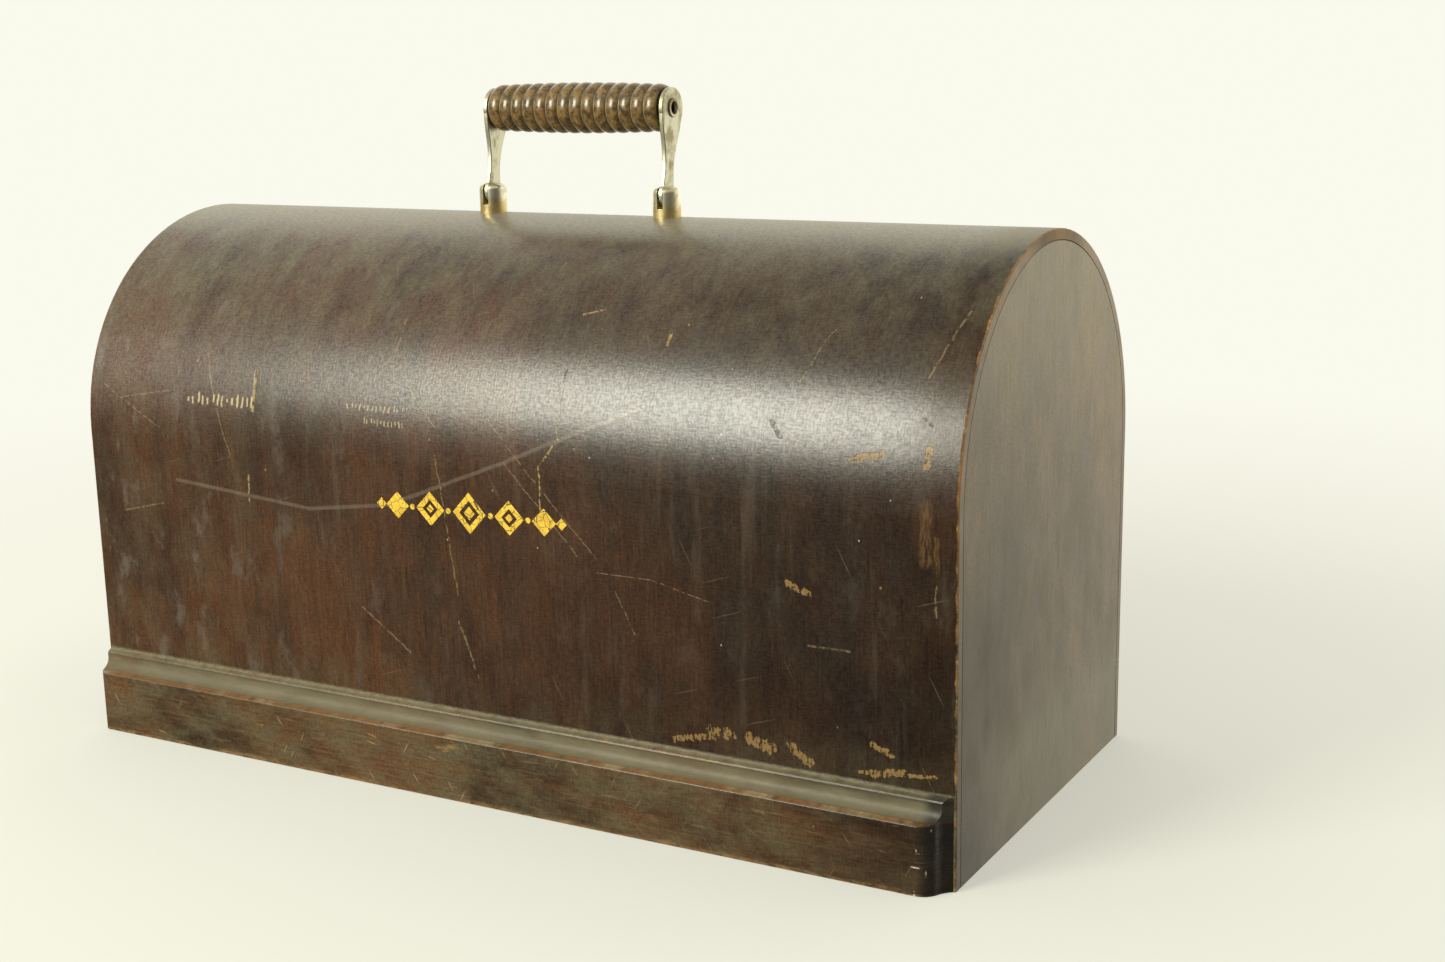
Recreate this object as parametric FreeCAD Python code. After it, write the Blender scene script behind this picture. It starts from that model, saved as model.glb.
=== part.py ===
import FreeCAD, Part
import math
import os

from FreeCAD import Vector

# Dome-top bentwood cover of a portable sewing machine's carrying case, with a folding carrying handle.
# Frame: millimetres, +X along the length, +Y to the back, +Z up. The origin is at the middle of the
# footprint, on the surface that the rim rests on.

# ---- driving dimensions -------------------------------------------------------------------------
LENGTH = 442.0            # over the end panels
DEPTH = 197.0             # outside of the bent shell, front face to back face
SHELL_T = 4.5             # thickness of the bent plywood
SPRING_Z = 145.7          # height where the straight sides turn into the half-round top
RAIL_PROUD = 10.0         # how far the front rail stands in front of the shell
PANEL_T = 9.5             # thickness of the end panels

POST_X = (-52.4, 41.2)    # the two handle posts along the ridge, left and right
POST_D = 12.5
POST_H = 13.3             # post height above the ridge
PIVOT_H = 9.9             # pivot height above the ridge
ARM_REACH = 37.9          # pivot to the centre of the grip
LEAN_DEG = 8.0            # how far the handle leans back where it is left standing
ARM_T = 2.2

# ---- worked out from them -----------------------------------------------------------------------
HALF_L = LENGTH / 2
OUTER_R = DEPTH / 2
INNER_R = OUTER_R - SHELL_T
SHELL_Y = RAIL_PROUD / 2              # the shell's middle plane; the rail makes up the rest of the footprint
FRONT_Y = SHELL_Y - OUTER_R           # the shell's front face
BACK_Y = SHELL_Y + OUTER_R
INNER_FRONT_Y = FRONT_Y + SHELL_T
INNER_BACK_Y = BACK_Y - SHELL_T
RIDGE_Z = SPRING_Z + OUTER_R
CEILING_Z = SPRING_Z + INNER_R
PANEL_X = HALF_L - PANEL_T            # inner face of an end panel
PIVOT_Z = RIDGE_Z + PIVOT_H

X_AXIS = Vector(1, 0, 0)
Y_AXIS = Vector(0, 1, 0)
Z_AXIS = Vector(0, 0, 1)


# ---- helpers ------------------------------------------------------------------------------------
def box(x0, x1, y0, y1, z0, z1):
    """A block between two opposite corners."""
    return Part.makeBox(x1 - x0, y1 - y0, z1 - z0, Vector(x0, y0, z0))


def rod(radius, start, end):
    """A round bar from one point to another."""
    axis = end - start
    return Part.makeCylinder(radius, axis.Length, start, axis)


def prism(corners, direction):
    """A straight-edged outline pushed along a direction."""
    return Part.Face(Part.makePolygon(corners + corners[:1])).extrude(direction)


def arch_block(radius, x0, x1):
    """A solid block with the cover's cross-section: straight sides and a half-round top."""
    front_foot = Vector(x0, SHELL_Y - radius, 0)
    front_spring = Vector(x0, SHELL_Y - radius, SPRING_Z)
    crown = Vector(x0, SHELL_Y, SPRING_Z + radius)
    back_spring = Vector(x0, SHELL_Y + radius, SPRING_Z)
    back_foot = Vector(x0, SHELL_Y + radius, 0)
    wire = Part.Wire([
        Part.makeLine(front_foot, front_spring),
        Part.Arc(front_spring, crown, back_spring).toShape(),
        Part.makeLine(back_spring, back_foot),
        Part.makeLine(back_foot, front_foot),
    ])
    return Part.Face(wire).extrude(Vector(x1 - x0, 0, 0))


def arch_edges(shape, x, radius):
    """The edges of an end outline at one x that lie on the cross-section of the given radius."""
    found = []
    for edge in shape.Edges:
        middle = edge.valueAt((edge.FirstParameter + edge.LastParameter) / 2)
        flat = max(abs(vertex.X - x) for vertex in edge.Vertexes) < 1e-6 and abs(middle.x - x) < 1e-6
        reach = math.hypot(middle.y - SHELL_Y, max(0.0, middle.z - SPRING_Z))
        if flat and abs(reach - radius) < 1e-3:
            found.append(edge)
    return found


def wood_screw(tip, head, shank_d=3.2, head_d=6.4):
    """A countersunk screw from its tip to the middle of its flat head, as a plain-shanked solid."""
    inward = (tip - head).normalize()
    sink = (head_d - shank_d) / 2
    cone = Part.makeCone(head_d / 2, shank_d / 2, sink, head, inward)
    return rod(shank_d / 2, head, tip).fuse(cone).removeSplitter()


def slotted_screw(tip, head, slot_along, shank_d=3.2, head_d=6.4):
    """The same screw with a driver slot cut in its head."""
    screw = wood_screw(tip, head, shank_d, head_d)
    inward = (tip - head).normalize()
    across = inward.cross(slot_along).normalize()
    half_w, half_l, deep = 0.45, head_d, 0.9
    corner = head - across * half_w - slot_along * half_l - inward * deep
    cut = prism([
        corner,
        corner + across * 2 * half_w,
        corner + across * 2 * half_w + slot_along * 2 * half_l,
        corner + slot_along * 2 * half_l,
    ], inward * 2 * deep)
    return screw.cut(cut)


parts = {}


# ---- woodwork -----------------------------------------------------------------------------------
EDGE_ROUND = 0.9          # the rounded arris along both ends of the shell
SEAM = 0.5                # chamfer round each end panel, which shows as the seam


def make_shell():
    shell = arch_block(OUTER_R, -HALF_L, HALF_L)
    rims = arch_edges(shell, -HALF_L, OUTER_R) + arch_edges(shell, HALF_L, OUTER_R)
    shell = shell.makeFillet(EDGE_ROUND, rims)
    return shell.cut(arch_block(INNER_R, -HALF_L - 1, HALF_L + 1))


def make_end_panel(side):
    """side is -1 for the left end and +1 for the right end."""
    x_in, x_out = side * PANEL_X, side * HALF_L
    panel = arch_block(INNER_R, min(x_in, x_out), max(x_in, x_out))
    return panel.makeChamfer(SEAM, arch_edges(panel, x_out, INNER_R))


RAIL_H = 38.3             # top of the front rail
LIP_H = 28.6              # where the rail's plain face ends and its cove starts
LIP_R = 0.7
COVE_R = 5.9              # a quarter round hollow above the lip
RAIL_LEFT_X = -219.0
RAIL_RIGHT_X = 220.0


def make_front_rail():
    """A moulding with a plain lower face, a lip, a cove, a small step and a bevelled ledge."""
    def at(proud, z):
        return Vector(-HALF_L, FRONT_Y - proud, z)

    part_turn = 1 - math.sqrt(0.5)
    cove_out = RAIL_PROUD - LIP_R
    face_top = at(RAIL_PROUD, LIP_H - LIP_R)
    lip_mid = at(RAIL_PROUD - LIP_R * part_turn, LIP_H - LIP_R * part_turn)
    lip_end = at(cove_out, LIP_H)
    cove_mid = at(cove_out - COVE_R * math.sqrt(0.5), LIP_H + COVE_R * part_turn)
    cove_end = at(cove_out - COVE_R, LIP_H + COVE_R)
    step = at(cove_out - COVE_R, RAIL_H - 1.9)
    bevel = at(3.0, RAIL_H - 1.3)
    top = at(1.0, RAIL_H)
    profile = Part.Wire([
        Part.makeLine(at(0, 0), at(RAIL_PROUD, 0)),
        Part.makeLine(at(RAIL_PROUD, 0), face_top),
        Part.Arc(face_top, lip_mid, lip_end).toShape(),
        Part.Arc(lip_end, cove_mid, cove_end).toShape(),
        Part.makeLine(cove_end, step),
        Part.makeLine(step, bevel),
        Part.makeLine(bevel, top),
        Part.makeLine(top, at(0, RAIL_H)),
        Part.makeLine(at(0, RAIL_H), at(0, 0)),
    ])
    length_run = Part.Face(profile).extrude(Vector(LENGTH, 0, 0))
    return length_run.common(rail_plan())


def rail_plan():
    """The rail from above: a small round at the left end, an ogee return at the right end."""
    def at(x, proud):
        return Vector(x, FRONT_Y - proud, -1)

    left_r = 4.0
    part_turn = 1 - math.sqrt(0.5)
    left_top = at(RAIL_LEFT_X, RAIL_PROUD - left_r)
    left_mid = at(RAIL_LEFT_X + left_r * part_turn, RAIL_PROUD - left_r * part_turn)
    left_front = at(RAIL_LEFT_X + left_r, RAIL_PROUD)

    bulb_r = 8.0                          # the return turns in by bulb_turn, then hollows back out
    bulb_turn, end_turn = math.radians(65), math.radians(35)
    bulb_drop = bulb_r * (1 - math.cos(bulb_turn))
    hollow_r = (RAIL_PROUD - bulb_drop) / (math.cos(end_turn) - math.cos(bulb_turn))
    hollow_run = hollow_r * (math.sin(bulb_turn) - math.sin(end_turn))
    bulb_x = RAIL_RIGHT_X - hollow_run - bulb_r * math.sin(bulb_turn)

    def on_bulb(turn):
        return at(bulb_x + bulb_r * math.sin(turn), RAIL_PROUD - bulb_r * (1 - math.cos(turn)))

    def on_hollow(turn):
        back = hollow_r * (math.sin(turn) - math.sin(end_turn))
        return at(RAIL_RIGHT_X - back, hollow_r * (math.cos(end_turn) - math.cos(turn)))

    outline = Part.Wire([
        Part.makeLine(at(RAIL_LEFT_X, 0), left_top),
        Part.Arc(left_top, left_mid, left_front).toShape(),
        Part.makeLine(left_front, on_bulb(0)),
        Part.Arc(on_bulb(0), on_bulb(bulb_turn / 2), on_bulb(bulb_turn)).toShape(),
        Part.Arc(on_hollow(bulb_turn), on_hollow((bulb_turn + end_turn) / 2), on_hollow(end_turn)).toShape(),
        Part.makeLine(on_hollow(end_turn), at(RAIL_LEFT_X, 0)),
    ])
    return Part.Face(outline).extrude(Vector(0, 0, RAIL_H + 2))


BATTEN_Z0 = 8.0           # the battens stop short of the rim, which drops over the base's raised edge
BATTEN_H = 24.0
BATTEN_T = 12.0
BATTEN_Z1 = BATTEN_Z0 + BATTEN_H


def make_sill(y0, y1):
    return box(-PANEL_X, PANEL_X, y0, y1, BATTEN_Z0, BATTEN_Z1)


HARDWARE_GAP = 35.0       # half the stretch of each end that is left free for the lock or the catch


def make_cleat(side, back):
    """An end batten, in front of or behind the hardware in the middle of that end."""
    x0, x1 = sorted((side * PANEL_X, side * (PANEL_X - BATTEN_T)))
    if back:
        return box(x0, x1, SHELL_Y + HARDWARE_GAP, INNER_BACK_Y - BATTEN_T, BATTEN_Z0, BATTEN_Z1)
    return box(x0, x1, INNER_FRONT_Y + BATTEN_T, SHELL_Y - HARDWARE_GAP, BATTEN_Z0, BATTEN_Z1)


BLOCK_LEG = 13.0


def make_corner_block(side, back):
    """A three-cornered glue block up the corner between an end panel and the shell."""
    corner_x = side * PANEL_X
    wall_y = INNER_BACK_Y if back else INNER_FRONT_Y
    leg_x = -side * BLOCK_LEG
    leg_y = -BLOCK_LEG if back else BLOCK_LEG
    z0, height = BATTEN_Z1 + 4, 88.0
    return prism([
        Vector(corner_x, wall_y, z0),
        Vector(corner_x + leg_x, wall_y, z0),
        Vector(corner_x, wall_y + leg_y, z0),
    ], Vector(0, 0, height))


ARCH_BLOCK_ANGLES = (18, 54, 90, 126, 162)


def make_arch_blocks(side):
    """Short glue blocks in the angle between the half-round top and an end panel."""
    x0, x1 = sorted((side * PANEL_X, side * (PANEL_X - 10)))
    depth, half_width = 9.0, 13.0
    blocks = []
    for angle in ARCH_BLOCK_ANGLES:
        low = INNER_R - depth
        block = box(x0, x1, low, INNER_R + 1, -half_width, half_width)
        block.rotate(Vector(0, 0, 0), X_AXIS, angle)
        block.translate(Vector(0, SHELL_Y, SPRING_Z))
        blocks.append(block.common(arch_block(INNER_R, x0, x1)))
    return Part.Compound(blocks)


parts["bent_shell"] = make_shell()
parts["left_end_panel"] = make_end_panel(-1)
parts["right_end_panel"] = make_end_panel(1)
parts["front_rail"] = make_front_rail()
parts["front_sill"] = make_sill(INNER_FRONT_Y, INNER_FRONT_Y + BATTEN_T)
parts["rear_sill"] = make_sill(INNER_BACK_Y - BATTEN_T, INNER_BACK_Y)
for side_name, side in (("left", -1), ("right", 1)):
    parts[side_name + "_front_cleat"] = make_cleat(side, back=False)
    parts[side_name + "_rear_cleat"] = make_cleat(side, back=True)
    parts[side_name + "_front_corner_block"] = make_corner_block(side, back=False)
    parts[side_name + "_rear_corner_block"] = make_corner_block(side, back=True)
    parts[side_name + "_arch_blocks"] = make_arch_blocks(side)


# ---- wood screws --------------------------------------------------------------------------------
def drive(screws, *hosts):
    """Cut each host to take the screws, so that wood and screw meet face to face."""
    for host in hosts:
        parts[host] = parts[host].cut(Part.Compound(screws))


rail_screws = []
for x in (-190.0, -95.0, 0.0, 95.0, 190.0):
    screw_z = BATTEN_Z0 + BATTEN_H / 2
    head = Vector(x, INNER_FRONT_Y + BATTEN_T, screw_z)
    tip = Vector(x, FRONT_Y - RAIL_PROUD + 2.5, screw_z)
    rail_screws.append(slotted_screw(tip, head, Z_AXIS))
drive(rail_screws, "front_sill", "bent_shell", "front_rail")
parts["rail_screws"] = Part.Compound(rail_screws)

for side_name, side in (("left", -1), ("right", 1)):
    cleat_screws = []
    for y in (-68.0, -42.0, 52.0, 78.0):
        screw_z = BATTEN_Z0 + BATTEN_H / 2
        head = Vector(side * (PANEL_X - BATTEN_T), y, screw_z)
        tip = Vector(side * (HALF_L - 2.5), y, screw_z)
        cleat_screws.append(slotted_screw(tip, head, Z_AXIS))
    drive(cleat_screws, side_name + "_front_cleat", side_name + "_rear_cleat", side_name + "_end_panel")
    parts[side_name + "_cleat_screws"] = Part.Compound(cleat_screws)


# ---- handle -------------------------------------------------------------------------------------
STUD_R = 3.0
BOARD_BOTTOM_Z = CEILING_Z - 12.0
WASHER_R, WASHER_T = 8.0, 1.2
NUT_ACROSS_FLATS, NUT_H = 10.0, 5.0
STUD_END_Z = BOARD_BOTTOM_Z - WASHER_T - NUT_H - 2.5
SLOT_W = 3.0
PIN_R = 1.5
PIN_CLEARANCE = 0.06      # radial, between a pivot pin and the arm that turns on it
ROD_R = 3.5
ROD_BORE_R = 2.5
GRIP_CLEARANCE = 0.08     # radial, between the rod and the grip that spins on it
EYE_R = 8.9               # round upper end of an arm
FOOT_R = 5.6              # round lower end of an arm
NECK_HALF_W = 3.6
GRIP_END_GAP = 1.0
GRIP_BEADS = 14
GRIP_MID_R = 11.4
GRIP_END_R = 10.4
BEAD_GROOVE = 1.15        # how deep the grooves between the beads are


def make_ridge_board():
    """Backing board glued under the ridge, its top hollowed to the inside of the bend."""
    half_w = 21.0
    board = box(POST_X[0] - 24, POST_X[1] + 24, SHELL_Y - half_w, SHELL_Y + half_w, BOARD_BOTTOM_Z, CEILING_Z)
    return board.common(arch_block(INNER_R, -PANEL_X, PANEL_X))


def make_post(x):
    """A round post with a rounded shoulder, a slot for the arm and a stud that goes through the ridge."""
    shoulder = 2.4
    top_z = RIDGE_Z + POST_H
    body = rod(POST_D / 2, Vector(x, SHELL_Y, RIDGE_Z - 3), Vector(x, SHELL_Y, top_z))
    top_edges = [edge for edge in body.Edges if min(v.Z for v in edge.Vertexes) > top_z - 0.01]
    body = body.makeFillet(shoulder, top_edges)
    body = body.cut(arch_block(OUTER_R, -HALF_L, HALF_L))
    stud = rod(STUD_R, Vector(x, SHELL_Y, STUD_END_Z), Vector(x, SHELL_Y, RIDGE_Z + 1))
    slot_floor = PIVOT_Z - FOOT_R - 0.3
    slot = box(x - SLOT_W / 2, x + SLOT_W / 2, SHELL_Y - POST_D, SHELL_Y + POST_D, slot_floor, top_z + 1)
    return body.fuse(stud).cut(slot).removeSplitter()


def lean(shape):
    """Turn a handle piece from upright to where the handle stands, about the pivot axis."""
    shape.rotate(Vector(0, SHELL_Y, PIVOT_Z), X_AXIS, -LEAN_DEG)
    return shape


def make_arm(x):
    """A flat arm, drawn upright: a large eye at the top, a hollow taper, a neck and a round foot."""
    x0 = x - ARM_T / 2

    def at(across, up):
        return Vector(x0, SHELL_Y + across, PIVOT_Z + up)

    eye_leave = math.radians(22)
    side_points = [
        (EYE_R * math.cos(eye_leave), ARM_REACH - EYE_R * math.sin(eye_leave)),
        (6.5, 26.6),
        (4.5, 19.6),
        (NECK_HALF_W, 11.5),
        (NECK_HALF_W + 0.35, 7.0),
        (FOOT_R * math.cos(math.radians(38)), FOOT_R * math.sin(math.radians(38))),
    ]

    def side_curve(sign):
        curve = Part.BSplineCurve()
        curve.interpolate([at(sign * across, up) for across, up in side_points])
        return curve.toShape()

    eye_arc = Part.Arc(
        at(-side_points[0][0], side_points[0][1]),
        at(0, ARM_REACH + EYE_R),
        at(side_points[0][0], side_points[0][1]),
    ).toShape()
    foot_arc = Part.Arc(
        at(-side_points[-1][0], side_points[-1][1]),
        at(0, -FOOT_R),
        at(side_points[-1][0], side_points[-1][1]),
    ).toShape()
    outline = Part.Wire(Part.__sortEdges__([eye_arc, side_curve(1), foot_arc, side_curve(-1)]))
    arm = Part.Face(outline).extrude(Vector(ARM_T, 0, 0))
    arm = arm.makeFillet(0.45, [edge for edge in arm.Edges if abs(edge.BoundBox.XLength) < 1e-6])
    eye_hole = rod(ROD_R, at(0, ARM_REACH) - X_AXIS, at(0, ARM_REACH) + X_AXIS * (ARM_T + 1))
    pivot_hole = rod(PIN_R + PIN_CLEARANCE, at(0, 0) - X_AXIS, at(0, 0) + X_AXIS * (ARM_T + 1))
    return lean(arm.cut(eye_hole).cut(pivot_hole))


def revolve_about_grip(outline):
    """Turn an outline of (x, radius) points about the grip's axis, drawn upright, then lean it."""
    centre = Vector(0, SHELL_Y, PIVOT_Z + ARM_REACH)
    corners = [centre + Vector(x, 0, radius) for x, radius in outline]
    solid = Part.Face(Part.makePolygon(corners + corners[:1])).revolve(centre, X_AXIS, 360)
    return lean(solid)


def make_rod():
    """Hollow rod; each end is rolled over the outside of its arm into a small collar."""
    collar_r, collar_t, mouth_r = 4.2, 0.8, 2.9
    x0 = POST_X[0] - ARM_T / 2
    x1 = POST_X[1] + ARM_T / 2
    return revolve_about_grip([
        (x0 - collar_t, mouth_r), (x0 - collar_t, collar_r - 0.3), (x0 - collar_t + 0.3, collar_r),
        (x0, collar_r), (x0, ROD_R), (x1, ROD_R), (x1, collar_r),
        (x1 + collar_t - 0.3, collar_r), (x1 + collar_t, collar_r - 0.3), (x1 + collar_t, mouth_r),
        (x1 - 0.5, ROD_BORE_R), (x0 + 0.5, ROD_BORE_R),
    ])


def make_grip():
    """Turned grip: a row of rounded beads, slightly barrelled, bored to spin on the rod."""
    x0 = POST_X[0] + ARM_T / 2 + GRIP_END_GAP
    x1 = POST_X[1] - ARM_T / 2 - GRIP_END_GAP
    middle, pitch = (x0 + x1) / 2, (x1 - x0) / GRIP_BEADS
    centre = Vector(0, SHELL_Y, PIVOT_Z + ARM_REACH)

    def crest(x):
        off = (x - middle) / ((x1 - x0) / 2)
        return GRIP_MID_R - (GRIP_MID_R - GRIP_END_R) * off * off

    def at(x, radius):
        return centre + Vector(x, 0, radius)

    edges = []
    for bead in range(GRIP_BEADS):
        left = x0 + bead * pitch
        right = left + pitch
        mid = (left + right) / 2
        left_point = at(left, crest(left) - BEAD_GROOVE)
        right_point = at(right, crest(right) - BEAD_GROOVE)
        edges.append(Part.Arc(left_point, at(mid, crest(mid)), right_point).toShape())
    bore = ROD_R + GRIP_CLEARANCE
    edges.append(Part.makeLine(at(x1, crest(x1) - BEAD_GROOVE), at(x1, bore)))
    edges.append(Part.makeLine(at(x1, bore), at(x0, bore)))
    edges.append(Part.makeLine(at(x0, bore), at(x0, crest(x0) - BEAD_GROOVE)))
    return lean(Part.Face(Part.Wire(edges)).revolve(centre, X_AXIS, 360))


def make_washer(x):
    bottom = Vector(x, SHELL_Y, BOARD_BOTTOM_Z - WASHER_T)
    return rod(WASHER_R, bottom, bottom + Z_AXIS * WASHER_T).cut(stud_space(x, 0.3))


def make_nut(x):
    """Hexagon nut on the stud, its corners eased."""
    bottom = Vector(x, SHELL_Y, BOARD_BOTTOM_Z - WASHER_T - NUT_H)
    corner_r = NUT_ACROSS_FLATS / math.sqrt(3)
    corners = []
    for step in range(6):
        angle = math.radians(60 * step)
        corners.append(bottom + Vector(corner_r * math.cos(angle), corner_r * math.sin(angle), 0))
    nut = prism(corners, Z_AXIS * NUT_H)
    dome = Part.makeCone(corner_r * 0.9, corner_r * 0.9 + NUT_H, NUT_H, bottom)
    return nut.common(dome).cut(stud_space(x, 0))


def stud_space(x, clearance):
    return rod(STUD_R + clearance, Vector(x, SHELL_Y, STUD_END_Z - 1), Vector(x, SHELL_Y, RIDGE_Z + 1))


def make_pivot_pin(x):
    half = POST_D / 2 - 0.1
    return rod(PIN_R, Vector(x - half, SHELL_Y, PIVOT_Z), Vector(x + half, SHELL_Y, PIVOT_Z))


parts["ridge_board"] = make_ridge_board()
for side_name, x in (("left", POST_X[0]), ("right", POST_X[1])):
    pin = make_pivot_pin(x)
    parts[side_name + "_pivot_pin"] = pin
    parts[side_name + "_handle_post"] = make_post(x).cut(pin)
    parts[side_name + "_handle_arm"] = make_arm(x)
    parts[side_name + "_post_washer"] = make_washer(x)
    parts[side_name + "_post_nut"] = make_nut(x)
    parts["bent_shell"] = parts["bent_shell"].cut(stud_space(x, 0.2))
    parts["ridge_board"] = parts["ridge_board"].cut(stud_space(x, 0.2))
parts["grip_rod"] = make_rod()
parts["grip"] = make_grip()


# ---- lock, inside the left end ------------------------------------------------------------------
KEY_Z = 30.0              # height of the keyhole and of the cam's axis
PLATE_T = 1.5
CASE_T = 1.2
CASE_DEEP = 10.0          # inside depth of the lock case, along X
CASE_HALF_Y = 24.0
CASE_Z0, CASE_Z1 = 14.0, 50.0
PLATE_HALF_Y = 32.0
PLATE_Z0, PLATE_Z1 = 10.0, 54.0
FINGER_R = 4.6            # distance of the cam's finger from its axis
BOLT_T = 3.0
STUD_LOCK_R = 1.5
STUD_OFFSETS = (-11.0, 11.0)
BOLT_TRAVEL = 2 * FINGER_R * math.sin(math.radians(45))

plate_x0 = -PANEL_X
plate_x1 = plate_x0 + PLATE_T
case_x1 = plate_x1 + CASE_DEEP
bolt_x0 = plate_x1 + 4.0
bolt_x1 = bolt_x0 + BOLT_T
bolt_z0 = KEY_Z + 2.4
bolt_z1 = KEY_Z + 13.0
stud_z = KEY_Z + 9.2


def keyhole(x0, x1):
    """Round hole with a straight slot below it."""
    round_part = rod(2.6, Vector(x0, SHELL_Y, KEY_Z), Vector(x1, SHELL_Y, KEY_Z))
    slot = box(x0, x1, SHELL_Y - 1.0, SHELL_Y + 1.0, KEY_Z - 7.0, KEY_Z)
    return round_part.fuse(slot)


def make_escutcheon():
    """Oval brass plate let in flush with the outside of the panel."""
    oval = Part.Ellipse(Vector(-HALF_L, SHELL_Y, KEY_Z - 2), 14.0, 8.5)
    oval.rotate(FreeCAD.Placement(oval.Center, FreeCAD.Rotation(Y_AXIS, 90), Vector(0, 0, 0)))
    return Part.Face(Part.Wire(oval.toShape())).extrude(X_AXIS * 1.2)


def make_lock_plate():
    plate = box(plate_x0, plate_x1, SHELL_Y - PLATE_HALF_Y, SHELL_Y + PLATE_HALF_Y, PLATE_Z0, PLATE_Z1)
    cam_hole = rod(2.6, Vector(plate_x0 - 1, SHELL_Y, KEY_Z), Vector(plate_x1 + 1, SHELL_Y, KEY_Z))
    return plate.cut(cam_hole)


def make_lock_case():
    """Pressed box over the works, open towards the plate, with a slot below for the base's staple."""
    outer = box(plate_x1, case_x1 + CASE_T, SHELL_Y - CASE_HALF_Y, SHELL_Y + CASE_HALF_Y, CASE_Z0, CASE_Z1)
    inner = box(
        plate_x1 - 1, case_x1,
        SHELL_Y - CASE_HALF_Y + CASE_T, SHELL_Y + CASE_HALF_Y - CASE_T,
        CASE_Z0 + CASE_T, CASE_Z1 - CASE_T,
    )
    staple_slot = box(bolt_x0 - 2, bolt_x1 + 2, SHELL_Y + 15.0, SHELL_Y + 18.4, CASE_Z0 - 1, CASE_Z0 + 2)
    journal = rod(2.06, Vector(case_x1 - 1, SHELL_Y, KEY_Z), Vector(case_x1 + 2, SHELL_Y, KEY_Z))
    return outer.cut(inner).cut(staple_slot).cut(journal)


def make_lock_bolt():
    """Sliding bar with two guide slots and an open notch for the cam's finger."""
    half_len = 16.0
    start_y = SHELL_Y - BOLT_TRAVEL / 2
    bolt = box(bolt_x0, bolt_x1, start_y - half_len, start_y + half_len, bolt_z0, bolt_z1)
    notch_half = 1.0 + 0.35
    bolt = bolt.cut(box(
        bolt_x0 - 1, bolt_x1 + 1,
        start_y - notch_half, start_y + notch_half,
        bolt_z0 - 1, KEY_Z + FINGER_R + 1.5,
    ))
    guide_half_z = STUD_LOCK_R + 0.08
    for offset in STUD_OFFSETS:
        low_y = SHELL_Y + offset - BOLT_TRAVEL - 0.4
        high_y = SHELL_Y + offset + 0.4
        slot = box(
            bolt_x0 - 1, bolt_x1 + 1,
            low_y, high_y,
            stud_z - guide_half_z, stud_z + guide_half_z,
        )
        ends = [
            rod(guide_half_z, Vector(bolt_x0 - 1, y, stud_z), Vector(bolt_x1 + 1, y, stud_z))
            for y in (low_y, high_y)
        ]
        bolt = bolt.cut(slot.fuse(ends))
    return bolt


def make_lock_cam():
    """Disc with an axle, a key socket and the finger that throws the bolt, finger turned to the front."""
    stations = (plate_x0 + 0.2, plate_x1 + 0.3, bolt_x0 - 0.4, case_x1 + CASE_T)
    axis = [Vector(x, SHELL_Y, KEY_Z) for x in stations]
    boss = rod(2.54, axis[0], axis[1])
    disc = rod(6.6, axis[1], axis[2])
    axle = rod(2.0, axis[2], axis[3])
    quarter = math.radians(45)
    offset = Vector(0, -FINGER_R * math.sin(quarter), FINGER_R * math.cos(quarter))
    finger = rod(1.0, axis[2] + offset, axis[2] + offset + X_AXIS * (BOLT_T + 1.0))
    socket = box(plate_x0 - 1, plate_x0 + 3.6, SHELL_Y - 0.7, SHELL_Y + 0.7, KEY_Z - 1.8, KEY_Z + 1.8)
    return boss.fuse([disc, axle, finger]).removeSplitter().cut(socket)


def make_lock_studs():
    studs = []
    for offset in STUD_OFFSETS:
        start = Vector(plate_x1, SHELL_Y + offset, stud_z)
        studs.append(rod(STUD_LOCK_R, start, start + X_AXIS * CASE_DEEP))
    return Part.Compound(studs)


def make_lock_spring():
    """Bowed leaf over the bolt, its two ends bearing on the case's roof."""
    leaf_t = 0.4
    roof = CASE_Z1 - CASE_T
    x0 = bolt_x0
    low = bolt_z1 + 0.1

    def at(y, z):
        return Vector(x0, SHELL_Y + y, z)

    under = Part.Arc(at(-15, roof - leaf_t), at(0, low), at(15, roof - leaf_t)).toShape()
    over = Part.Arc(at(15, roof), at(0, low + leaf_t), at(-15, roof)).toShape()
    outline = Part.Wire([
        under,
        Part.makeLine(at(15, roof - leaf_t), at(15, roof)),
        over,
        Part.makeLine(at(-15, roof), at(-15, roof - leaf_t)),
    ])
    return Part.Face(outline).extrude(X_AXIS * BOLT_T)


parts["lock_escutcheon"] = make_escutcheon()
parts["lock_plate"] = make_lock_plate()
parts["lock_case"] = make_lock_case()
parts["lock_bolt"] = make_lock_bolt()
parts["lock_cam"] = make_lock_cam()
parts["lock_studs"] = make_lock_studs()
parts["lock_spring"] = make_lock_spring()

parts["left_end_panel"] = parts["left_end_panel"].cut(parts["lock_escutcheon"])
parts["left_end_panel"] = parts["left_end_panel"].cut(keyhole(-HALF_L - 1, -PANEL_X + 1))
parts["lock_escutcheon"] = parts["lock_escutcheon"].cut(keyhole(-HALF_L - 1, -PANEL_X + 1))

escutcheon_pins = []
for z in (KEY_Z + 8.5, KEY_Z - 12.5):
    head = Vector(-HALF_L, SHELL_Y, z)
    escutcheon_pins.append(rod(0.8, head, head + X_AXIS * 6.0))
drive(escutcheon_pins, "lock_escutcheon", "left_end_panel")
parts["escutcheon_pins"] = Part.Compound(escutcheon_pins)

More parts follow.
